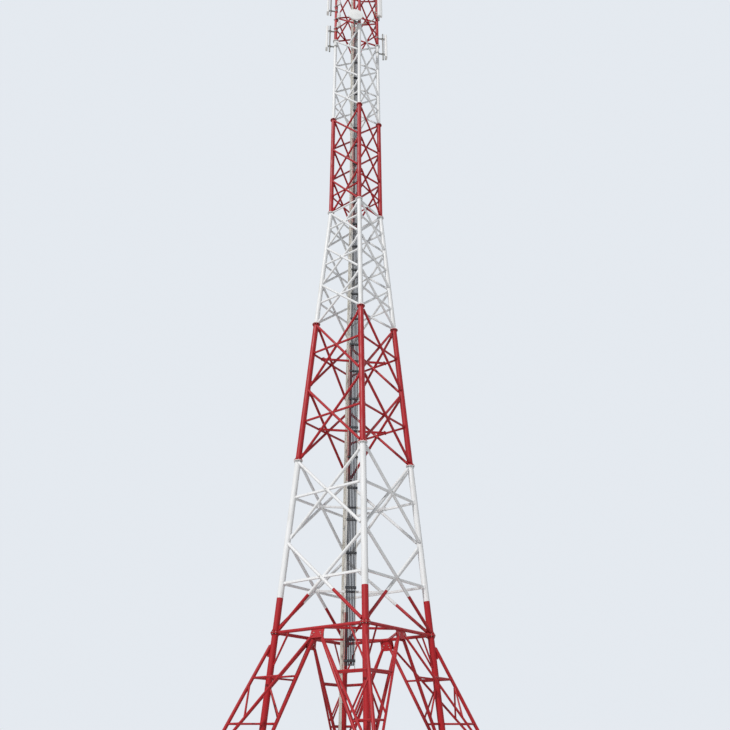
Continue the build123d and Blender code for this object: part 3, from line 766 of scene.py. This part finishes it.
def corner_ties():
    """Ties of the front left corner: those in its plane of symmetry, and those of one side."""
    level_ties, one = Shape(), Shape()
    low, high = TIE_LEVELS
    for z in TIE_LEVELS:
        start, end = along(leg_foot, raker_head, z), along(raker_foot, raker_head, z)
        butted(level_ties, start, end, TIE, leg_tube, raker_tube)
    for foot, target, size, carrier in strut_feet:
        strut = (ring_middle - target, size / 2)
        for tube_z, strut_z in ((low, low), (high, high), (high - TIE_STEP, low + TIE_STEP)):
            start, end = along(foot, raker_head, tube_z), along(target, ring_middle, strut_z)
            butted(one, start, end, TIE, carrier, strut)
    knee_foot = along(leg_foot, raker_head, high + TIE_STEP)
    knee_head = on_leg(LEFT, RING) + EAST * KNEE
    butted(one, knee_foot, knee_head, TIE, leg_tube, (EAST, RING_TUBE / 2))
    return level_ties, one


def base_bracing():
    """Struts and ties of each corner, its second side the mirror image of the first."""
    mirror = Matrix(((0, 1, 0, 0), (1, 0, 0, 0), (0, 0, 1, 0), (0, 0, 0, 1)))
    one = corner_struts()
    struts = Shape().join(one).join(one, mirror, flip=True)
    level_ties, one = corner_ties()
    ties = Shape().join(level_ties).join(one).join(one, mirror, flip=True)
    for turns, corner in enumerate(CORNERS):
        place_turned(struts, turns, "bracing_" + corner)
        place_turned(ties, turns, "ties_" + corner)


def foot_plates(node, centre, side, radius):
    """Foot plates with ribs, and anchor bolts with washers and double nuts."""
    one = Shape()
    half, top = side / 2, centre + UP * PLATE
    slab(one, centre + UP * PLATE / 2, EAST, NORTH, square(half), PLATE, RED)
    near, far = radius + 0.002, half - 0.005
    for out in (EAST * -1, NORTH * -1):
        slab(one, top, out, UP, [(near, 0), (far, 0), (far, 0.020), (near, RIB)], 0.015, RED)
    nut = [(0, 0.024), (0.002, 0.026), (0.020, 0.026), (0.022, 0.024)]
    for a, b in square(half - BOLT_EDGE):
        place = top + Vector((a, b, 0))
        disc(one, place, UP, 0.030, 0.005, BOLT, 20)
        for lift in (0.005, 0.029):
            lathe(one, place + UP * lift, UP, nut, BOLT, 6)
        lathe(one, place + UP * 0.050, UP, [(0, 0.015), (0.040, 0.015), (0.044, 0.012)], BOLT, 12)
    four_sided(one).place("bolted_" + node, node, bevel=0.002)


base_legs()
base_rakers()
base_ring()
ring_gussets()
ring_diamond()
base_bracing()
foot_plates("main_base_plates", leg_foot, MAIN_SIDE, BASE_LEG / 2)
foot_plates("outer_base_plates", raker_foot, OUTER_SIDE, RAKER / 2 + 0.004)


# Level bars at the bend and at the head, and bars across the inside
def rim_bars():
    """Level bars with an end plate against the flanges of each leg."""
    one = Shape()
    for level, size, diameter in (
        (BEND, LEVEL_BARS[TAPERED], LEGS[TAPERED - 1]),
        (TOP - LEVEL_BARS[-1] / 2, LEVEL_BARS[-1], LEGS[-1]),
    ):
        start, end = between_legs(level, diameter / 2 + OVERHANG)
        kind = paint_at(level - 0.05)
        beam(one, start, end, size, size, UP, kind, BAR_EDGE)
        plate = rectangle(size + 0.04, size + 0.02, 0, -0.01)
        for point, way in ((start, 1), (end, -1)):
            slab(one, point + EAST * way * END_PLATE / 2, NORTH, UP, plate, END_PLATE, kind)
    four_sided(one).place("edged_level_bars", "level_bars")


def carrier_bar(shape, level, diagonal, level_bar):
    """Square bar from the left to the rear face, where it ends on a level bar or a diagonal."""
    line = behind_axis(level, LADDER_LINE)
    run = (behind_axis(level + 1, LADDER_LINE) - line).normalized()
    flat = (REARWARD - run * REARWARD.dot(run)).normalized()
    centre = line + flat * (CARRIER + RAIL_DEPTH * REARWARD.dot(flat)) / 2
    rise = centre.x + half_side(level)
    depth = diagonal - BITE / 2 if abs(centre.y - rise) < 2 * diagonal else level_bar / 2
    first, second = frame_of(SIDEWAYS, flat)
    outline = rounded_bar(CARRIER, CARRIER, BAR_EDGE)
    edges = [centre + first * u + second * v for u, v in outline]
    kind, loops = paint_at(level), []
    for turns in (3, 2):
        normal = quarter(turns) @ face_normal(level, level + 1)
        face = quarter(turns) @ Vector((0, -half_side(level), level)) - normal * depth
        slant = SIDEWAYS.dot(normal)
        loops.append([p + SIDEWAYS * ((face - p).dot(normal) / slant) for p in edges])
        plate = centre + SIDEWAYS * ((face - centre).dot(normal) / slant) - normal * END_PLATE / 2
        upward = (UP - normal * normal.z).normalized()
        slab(shape, plate, normal, upward, square(CARRIER_PLATE), END_PLATE, kind)
    rings(shape, loops, kind, smooth=False)


def carrier_bars():
    """Bars that carry the cable ladder, painted with their bands."""
    shape = Shape()
    for index in range(CARRIER_SECTIONS):
        for bottom, top in panels(index):
            carrier_bar(shape, crossing_level(bottom, top), DIAGONALS[index], LEVEL_BARS[index])
    shape.place("edged_carrier_bars", "plan_bars")


rim_bars()
carrier_bars()
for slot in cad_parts["ladder_brackets"].material_slots:
    slot.material = looks[STEEL]


# Cable ladder, feeders, clamps and climbing ladder
def running(shape, low, high, from_leg, aside, width, depth):
    """Flat steel bar that follows the rear leg's lean up to the bend."""
    outline = rounded_bar(width, depth, min(0.003, width / 3, depth / 3))
    loops = []
    for z in (low, BEND, high):
        point = behind_axis(z, from_leg, aside)
        loops.append([point + SIDEWAYS * u + REARWARD * v for u, v in outline])
    rings(shape, loops, STEEL, smooth=False)


def ladder_levels():
    count = int((LADDER_HEAD - LADDER_FOOT) // LADDER_PITCH)
    return [LADDER_FOOT + LADDER_PITCH * (n + 0.25) for n in range(count + 1)]


def cable_ladder():
    """Channel rails, their lips turned in, and the rungs between them."""
    shape = Shape()
    rail = (LADDER_WIDTH - RAIL_THICK) / 2
    for side in (-1, 1):
        web = side * (LADDER_WIDTH - RAIL_WEB) / 2
        running(shape, LADDER_FOOT, LADDER_HEAD, LADDER_LINE, web, RAIL_WEB, RAIL_DEPTH)
        for way in (-1, 1):
            lip = LADDER_LINE + way * (RAIL_DEPTH - RAIL_LIP) / 2
            running(shape, LADDER_FOOT, LADDER_HEAD, lip, side * rail, RAIL_THICK, RAIL_LIP)
    for z in ladder_levels():
        start, end = across(z, LADDER_LINE, rail - 0.002)
        beam(shape, start, end, LADDER_BAR, LADDER_BAR, REARWARD, STEEL, 0.003)
    shape.place("channel_cable_ladder", "cable_ladder")


def connector(shape, end):
    """Plug body over a cable's upper end, with its coupling nut."""
    body = [(-0.030, 0.023), (-0.030, 0.025), (0.030, 0.025), (0.034, 0.020), (0.062, 0.020)]
    lathe(shape, end, UP, body + [(0.066, 0.014), (0.085, 0.014)], STEEL, 20)


def feeders():
    """Round feeders; the first three end above the last clamp, where the bent cables go on."""
    shape = Shape()
    sleeve = [(0, 0.024), (0.060, 0.024), (0.066, 0.021)]
    for n in range(FEEDERS):
        head = JUMPER_FOOT if n < JUMPERS else LADDER_HEAD - FEEDER_INSET
        levels = (LADDER_FOOT + FEEDER_INSET, BEND, head)
        points = [behind_axis(z, FEEDER_LINE, feeder_aside(n)) for z in levels]
        rings(shape, [circle(point, SIDEWAYS, REARWARD, FEEDER / 2, 20) for point in points], DARK)
        lathe(shape, points[0], UP, sleeve, DARK, 20)
        if n >= JUMPERS:
            connector(shape, points[-1])
    shape.place("round_feeder_cables", "feeder_cables")


def clamps():
    """Hanger blocks with a saddle for each cable, a steel strap and its bolts."""
    shape = Shape()
    line = FEEDER_LINE + FEEDER / 2 + CLAMP_DEPTH / 2
    front = REARWARD * -(CLAMP_DEPTH / 2 - 0.001)
    band = [(0, FEEDER / 2), (0, SADDLE), (SADDLE_HEIGHT, SADDLE), (SADDLE_HEIGHT, FEEDER / 2)]
    for z in ladder_levels():
        start, end = across(z, line, LADDER_WIDTH / 2)
        beam(shape, start, end, CLAMP_HEIGHT, CLAMP_DEPTH - 0.004, REARWARD, DARK, 0.008)
        beam(shape, start + front, end + front, 0.030, 0.004, REARWARD, DARK, 0.001)
        for n in range(FEEDERS):
            saddle = behind_axis(z, FEEDER_LINE, feeder_aside(n)) - UP * SADDLE_HEIGHT / 2
            lathe(shape, saddle, UP, band, DARK, 16)
        for n in range(FEEDERS + 1):
            place = behind_axis(z, line, FEEDER_PITCH * (n - FEEDERS / 2)) + front
            bolt(shape, place, REARWARD * -1, 0.008, 0.004)
    shape.place("saddled_cable_clamps", "cable_clamps")


def climbing_ladder():
    """Two stiles, and rungs with a bead beyond each end."""
    shape = Shape()
    for place in (CLIMB_NEAR, CLIMB_FAR):
        running(shape, CLIMB_FOOT, CLIMB_HEAD, place, CLIMB_ASIDE, STILE_WIDTH, STILE_THICK)
    shape.place("edged_climbing_ladder", "climbing_ladder")
    shape = Shape()
    for n in range(int((CLIMB_HEAD - CLIMB_FOOT) / RUNG_PITCH + 0.001)):
        z = CLIMB_FOOT + RUNG_PITCH * (n + 0.5)
        start = behind_axis(z, CLIMB_NEAR - STILE_THICK / 2, CLIMB_ASIDE)
        end = behind_axis(z, CLIMB_FAR + STILE_THICK / 2, CLIMB_ASIDE)
        tube(shape, start, end, RUNG / 2, STEEL, 14)
        for point, out in ((start, REARWARD), (end, REARWARD * -1)):
            weld(shape, point + out * STILE_THICK, out, RUNG / 2, STEEL, 14, 0.004)
    shape.place("round_climbing_rungs", "climbing_rungs")


cable_ladder()
feeders()
clamps()
climbing_ladder()


# Antennas, dish and radio units at the head
def outboard(corner, direction):
    """Leg axis at the head, the way its antenna faces, and the direction to its side."""
    axis = on_leg(corner, BEND)
    out = Vector(direction).normalized()
    return Vector((axis.x, axis.y, 0)), out, UP.cross(out)


def sockets(shape, centre, side, pitch, wide, neck, narrow, end):
    """Four connectors in a row that point down, wide as far as the neck and narrow to their end."""
    profile = [(0, wide), (neck, wide), (neck, narrow), (end, narrow)]
    for n in range(4):
        lathe(shape, centre + side * pitch * (n - 1.5), UP * -1, profile, STEEL, 12)


def panel_outline(scale):
    """Outline of a panel antenna's cover: flat back, sides, and a crowned front."""
    half, cut = PANEL_WIDTH / 2, 0.012
    waist = PANEL_BACK + PANEL_DEPTH - PANEL_EDGE
    points = [(PANEL_BACK, half - cut), (PANEL_BACK, cut - half), (PANEL_BACK + cut, -half)]
    for n in range(13):
        angle = pi * (n / 12 - 0.5)
        points.append((waist + PANEL_EDGE * cos(angle) ** 0.6, half * sin(angle)))
    points.append((PANEL_BACK + cut, half))
    centre = PANEL_BACK + PANEL_DEPTH / 2
    return [(centre + (x - centre) * scale, y * scale) for x, y in points]


def panel_antenna(shape, axis, out, side, low):
    """Cover between two end caps, with its connectors underneath."""
    high = low + PANEL_LENGTH
    cap, skin, small = [
        [axis + out * x + side * y for x, y in panel_outline(scale)] for scale in (1.0, 0.975, 0.93)
    ]
    for smooth, levels in (
        (False, ((small, low), (cap, low + 0.006), (cap, low + 0.045))),
        (True, ((skin, low + 0.045), (skin, high - 0.030))),
        (False, ((cap, high - 0.030), (cap, high - 0.006), (small, high))),
    ):
        loops = [[p + UP * z for p in outline] for outline, z in levels]
        rings(shape, loops, PALE, smooth=smooth)
    centre = axis + out * (PANEL_BACK + PANEL_DEPTH * 0.42) + UP * low
    sockets(shape, centre, side, 0.052, 0.015, 0.012, 0.011, 0.038)


def pipe(shape, centre, low, high):
    """Antenna pipe with a cap on each end."""
    tube(shape, centre + UP * (low + 0.004), centre + UP * (high - 0.004), PIPE / 2, SHADE_DARK_ZINC, 28)
    slim, wide = PIPE / 2 - 0.001, PIPE / 2 + 0.002
    for at in (low, high - 0.012):
        cap = [(0, slim), (0.002, wide), (0.010, wide), (0.012, slim)]
        lathe(shape, centre + UP * at, UP, cap, SHADE_DARK_ZINC, 28)


def leg_arm(shape, foot, out, line, short):
    """Square arm from a band on a leg to a plate that two U-bolts hold to a pipe."""
    start, end = foot + out * LEGS[-1] * 0.45, foot + out * (line - PIPE / 2 - short)
    beam(shape, start, end, ARM, ARM, UP, SHADE_DARK_ZINC, ARM_EDGE)
    collar(shape, foot, LEGS[-1] / 2, out, ARM + 0.020, SHADE_DARK_ZINC)
    centre = foot + out * line
    plate = centre - out * (PIPE / 2 + 0.006)
    slab(shape, plate, UP.cross(out), UP, rectangle(PIPE + 0.050, ARM + 0.030), 0.010, SHADE_DARK_ZINC)
    u_bolts(shape, centre, PIPE / 2, out * -1, 0.022, 0.010, 0.020)


def panel_bracket(shape, foot, out, side):
    """Bracket between a pipe and an antenna's back."""
    near, thick = PIPE_LINE + PIPE / 2, 0.006
    collar(shape, foot + out * PIPE_LINE, PIPE / 2, out, ARM, SHADE_DARK_ZINC, thick)
    back = foot + out * (PANEL_BACK - 0.004)
    slab(shape, back, side, UP, rectangle(BRACKET, ARM + 0.020), 0.008, SHADE_DARK_ZINC)
    centre = (near + PANEL_BACK) / 2
    for way in (-1, 1):
        cheek = foot + side * way * (BRACKET / 2 - thick)
        slab(shape, cheek, out, UP, rectangle(PANEL_GAP, ARM, centre), thick, SHADE_DARK_ZINC)
    bolt(shape, foot + out * centre, side, 0.012, BRACKET - thick)


def dish_cover(shape, hub, out, side):
    """Dish with its ribs and rim, and the flat cover bolted to the rim."""
    rear, small, wide = DISH_BACK + DISH_DEPTH, HUB / 2, DISH / 2
    front, lip = rear + DISH_RIM, wide - 0.010
    back = []
    for n in range(11):
        t = n / 10
        back.append((DISH_BACK + DISH_DEPTH * t, sqrt(small**2 + (wide**2 - small**2) * t)))
    lathe(shape, hub, out, back, PALE, 64, smooth=True)
    waist = wide - 0.005
    rim = [(rear, wide - 0.006), (rear + 0.004, wide), (rear + 0.012, wide), (rear + 0.016, waist)]
    rim += [(front - 0.014, waist), (front - 0.010, wide), (front - 0.002, wide), (front, wide - 0.004)]
    lathe(shape, hub, out, rim, PALE, 64)
    cover = [(front, lip)]
    for n in range(1, 8):
        t = n / 7
        cover.append((front + DISH_COVER * sin(t * pi / 2) ** 1.4, lip * (1 - t) + 0.004))
    lathe(shape, hub, out, cover, PALE, 64, smooth=True)
    for spoke in spokes(12, 0.0, side, UP):
        foot = hub + out * (front - 0.002) + spoke * (wide - 0.016)
        disc(shape, foot, out, 0.007, 0.006, BOLT, 8)
    foot, crest = hub + out * DISH_BACK, small + 0.16
    rib = [(0, small), (0.07, crest), (0.10, crest), (0.04, small)]
    for spoke in spokes(8, 0.5, side, UP):
        slab(shape, foot, out, spoke, rib, 0.006, PALE)


def dish_mount(shape, hub, out, side):
    """Hub between the dish and its pipe, and a rod from the pipe to the dish's upper edge."""
    disc(shape, hub + out * PIPE / 2, out, 0.055, DISH_BACK - PIPE / 2, SHADE_DARK_ZINC, 28)
    disc(shape, hub + out * (DISH_BACK - 0.014), out, HUB / 2 - 0.006, 0.016, SHADE_DARK_ZINC, 32)
    u_bolts(shape, hub, PIPE / 2, out, 0.036, 0.012, DISH_CARRIER / 2 - 0.02)
    plate = hub + out * (PIPE / 2 + 0.010)
    slab(shape, plate, side, UP, square(DISH_CARRIER / 2), 0.012, SHADE_DARK_ZINC)
    foot = hub + UP * DISH_ROD_LEVEL
    head = hub + out * (DISH_BACK + DISH_DEPTH - 0.004) + UP * (DISH / 2 - 0.030)
    collar(shape, foot, PIPE / 2, out, 0.040, SHADE_DARK_ZINC, 0.006)
    tube(shape, foot + out * PIPE / 2, head, DISH_ROD / 2, SHADE_DARK_ZINC, 12)


def radio_units(boxes, brackets):
    """Finned radio units on plates across the front of the front left leg."""
    back = -TOP_HALF - LEGS[-1] / 2 - RADIO_PLATE
    centre = RADIO_ASIDE - TOP_HALF
    near, far = -TOP_HALF - RADIO_PLATE_HEIGHT, centre + RADIO_WIDTH / 2
    half = RADIO_HEIGHT / 2
    outline = rounded_bar(RADIO_DEPTH - 0.020, RADIO_WIDTH, 0.014)
    steps = ((0.002 - half, 0.94), (0.012 - half, 1.0), (half - 0.012, 1.0), (half - 0.002, 0.94))
    for rise in RADIO_RISES:
        level = HEAD_FOOT + rise
        body = Vector((centre, back - RADIO_DEPTH / 2 + 0.010, level))
        loops = []
        for at, scale in steps:
            loops.append([body + NORTH * -u * scale + EAST * v * scale + UP * at for u, v in outline])
        rings(boxes, loops, PALE, smooth=False)
        for n in range(FINS):
            fin = body + EAST * FIN_PITCH * (n - (FINS - 1) / 2) - NORTH * (RADIO_DEPTH / 2 - 0.004)
            reach = UP * (half - 0.030)
            beam(boxes, fin - reach, fin + reach, 0.003, 0.016, NORTH, PALE, 0.0008)
        sockets(boxes, body - UP * half, EAST, 0.042, 0.013, 0.010, 0.009, 0.028)
        a, low, high = EAST * HANDLE_HALF, body + UP * (half - 0.004), body + UP * (half + HANDLE_RISE)
        bent_rod(boxes, [low - a, high - a, high + a, low + a], 0.005, STEEL)
        plate = Vector(((near + far) / 2, back + RADIO_PLATE / 2, level))
        slab(brackets, plate, EAST, UP, rectangle(far - near, RADIO_PLATE_HEIGHT), RADIO_PLATE, SHADE_DARK_ZINC)
        leg = Vector((-TOP_HALF, -TOP_HALF, level))
        u_bolts(brackets, leg, LEGS[-1] / 2, NORTH * -1, 0.032, 0.010, 0.018)
        for way in (-1, 1):
            bolt(brackets, Vector((centre + way * 0.06, back + RADIO_PLATE, level)), NORTH, 0.010, 0.006)


def head():
    """Antennas on their pipes, the dish on its own pipe beside the front right leg, and radios."""
    covers, pipes, brackets, dish, boxes = Shape(), Shape(), Shape(), Shape(), Shape()
    for corner, direction, rise, arm_rises in ANTENNAS:
        axis, out, side = outboard(corner, direction)
        low = HEAD_FOOT + rise
        panel_antenna(covers, axis, out, side, low)
        pipe(pipes, axis + out * PIPE_LINE, low - PIPE_OVERRUN, low + PANEL_LENGTH + PIPE_OVERRUN)
        for arm_rise in arm_rises:
            foot = axis + UP * (HEAD_FOOT + arm_rise)
            leg_arm(brackets, foot, out, PIPE_LINE, 0.010)
            panel_bracket(brackets, foot, out, side)
    axis, out, side = outboard(RIGHT, (1, -1, 0))
    mast = axis - side * DISH_ASIDE
    hub = mast + UP * DISH_LEVEL
    dish_cover(dish, hub, out, side)
    pipe(pipes, mast, DISH_LEVEL + DISH_PIPE[0], DISH_LEVEL + DISH_PIPE[1])
    dish_mount(brackets, hub, out, side)
    for rise in DISH_ARMS:
        leg_arm(brackets, axis + UP * (HEAD_FOOT + rise), side * -1, DISH_ASIDE, 0)
    radio_units(boxes, brackets)
    covers.place("crowned_panel_antennas", "panel_antennas")
    pipes.place("round_antenna_pipes", "antenna_pipes")
    brackets.place("clamped_antenna_brackets", "antenna_brackets")
    dish.place("covered_dish", "drum_antenna", "drum_radome")
    boxes.place("finned_radio_units", "radio_units")


head()

# Cables from the cable ladder to the rear right leg
jumper_leg = on_leg(REAR_RIGHT, BEND)
inward = (behind_axis(BEND, FEEDER_LINE) - jumper_leg).normalized()
beside = UP.cross(inward)
jumper_leg.z = 0


def jumper(number):
    """Stiff cable that leaves the ladder above its last clamp and bends across to the leg."""
    spare = number - 1
    start = behind_axis(JUMPER_FOOT, FEEDER_LINE, feeder_aside(number))
    route = [start]
    for aside, rearward, z, kept in JUMPER_ROUTE:
        place = SIDEWAYS * (aside + FEEDER_PITCH * spare * kept) + REARWARD * rearward
        lift = JUMPER_FAN * spare if len(route) > 1 else 0
        route.append(place + UP * (z - lift))
    end = jumper_leg + inward * JUMPER_LINE + beside * JUMPER_PITCH * spare
    route += [end + UP * z for z in JUMPER_END]
    name = "jumper_cable_%d" % (number + 1)
    curve = bpy.data.curves.new(name, "CURVE")
    curve.dimensions = "3D"
    curve.bevel_depth = FEEDER / 2
    curve.bevel_resolution = 4
    curve.use_fill_caps = True
    curve.resolution_u = 12
    spline = curve.splines.new("NURBS")
    spline.points.add(len(route) - 1)
    for point, place in zip(spline.points, route):
        point.co = (*(place + middle), 1)
    spline.order_u = 3
    spline.use_endpoint_u = True
    curve.materials.append(looks[DUSTY])
    piece = add_object(name, curve)
    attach(piece, "root")
    shape = Shape()
    connector(shape, route[-1])
    plug = shape.place("jumper_connector_%d" % (number + 1))


def jumper_clamps():
    """Bands on the leg with a block and a strap that hold the cables."""
    shape = Shape()
    half = beside * (JUMPER_PITCH * JUMPERS / 2 + 0.012)
    for z in JUMPER_CLAMPS:
        foot = jumper_leg + UP * z
        collar(shape, foot, LEGS[-1] / 2, inward, 0.040)
        block = foot + inward * (JUMPER_LINE - FEEDER / 2 - 0.008)
        beam(shape, block - half, block + half, 0.036, 0.016, inward, STEEL, 0.002)
        strap = foot + inward * (JUMPER_LINE + FEEDER / 2 + 0.001)
        beam(shape, strap - half, strap + half, 0.030, 0.004, inward, STEEL, 0.001)
        for n in range(JUMPERS + 1):
            place = foot + inward * JUMPER_LINE + beside * JUMPER_PITCH * (n - JUMPERS / 2)
            bolt(shape, place, inward, 0.008, FEEDER + 0.006)
    shape.place("jumper_clamps")


for number in range(JUMPERS):
    jumper(number)
jumper_clamps()


# Floor, light and camera
def ground():
    bpy.ops.mesh.primitive_plane_add(size=900, location=(middle.x, middle.y, -0.002))
    floor = bpy.context.object
    floor.name = "floor"
    material, tree, principled, place = shader("pale_floor", (0.80, 0.80, 0.79), 0.9)
    tone = spread(tree, noise(tree, place, 0.3, 3), 0.3, 0.7)
    colour = blend(tree, tone, (0.78, 0.78, 0.77), (0.82, 0.82, 0.81))
    tree.links.new(colour, principled.inputs["Base Color"])
    floor.data.materials.append(material)


def studio():
    """Even light from all round, and a pale backdrop for camera, gloss and glass."""
    world = bpy.data.worlds.new("studio")
    bpy.context.scene.world = world
    world.use_nodes = True
    tree = world.node_tree
    tree.nodes.clear()
    rays = add_node(tree, "ShaderNodeLightPath").outputs
    seen = rays["Is Camera Ray"]
    for kind in ("Is Glossy Ray", "Is Transmission Ray"):
        either = add_node(tree, "ShaderNodeMath")
        either.operation = "MAXIMUM"
        tree.links.new(seen, either.inputs[0])
        tree.links.new(rays[kind], either.inputs[1])
        seen = either.outputs[0]
    mixed = add_node(tree, "ShaderNodeMixShader", Fac=seen)
    for socket, (colour, strength) in zip(mixed.inputs[1:], (SKY, BACKDROP)):
        light = add_node(tree, "ShaderNodeBackground", Color=colour, Strength=strength)
        tree.links.new(light.outputs[0], socket)
    add_node(tree, "ShaderNodeOutputWorld", Surface=mixed.outputs[0])


def key_light():
    lamp = bpy.data.lights.new("key", "SUN")
    lamp.energy = SUN_ENERGY
    lamp.angle = radians(SUN_SPREAD)
    lamp.color = SUN_COLOUR
    light = add_object("key", lamp)
    light.rotation_mode = "QUATERNION"
    light.rotation_quaternion = Vector(SUN_FROM).to_track_quat("Z", "Y")


def camera():
    """Camera near the ground before the front right leg, turned from the tower's axis."""
    lens = bpy.data.cameras.new("camera")
    lens.lens = CAMERA_LENS
    lens.sensor_width = CAMERA_SENSOR
    lens.clip_start = 0.1
    lens.clip_end = 2000
    view = add_object("camera", lens)
    view.location = CAMERA_SPOT + middle
    heading = atan2(CAMERA_SPOT.x, -CAMERA_SPOT.y) - radians(CAMERA_YAW)
    pitch, roll = radians(90 + CAMERA_PITCH), radians(-CAMERA_ROLL)
    turn = Matrix.Identity(3)
    for angle, about in ((heading, "Z"), (pitch, "X"), (roll, "Z")):
        turn = turn @ Matrix.Rotation(angle, 3, about)
    view.rotation_mode = "QUATERNION"
    view.rotation_quaternion = turn.to_quaternion()
    bpy.context.scene.camera = view


ground()
studio()
key_light()
camera()
bpy.context.scene.view_settings.view_transform = "Standard"

bpy.context.view_layer.update()
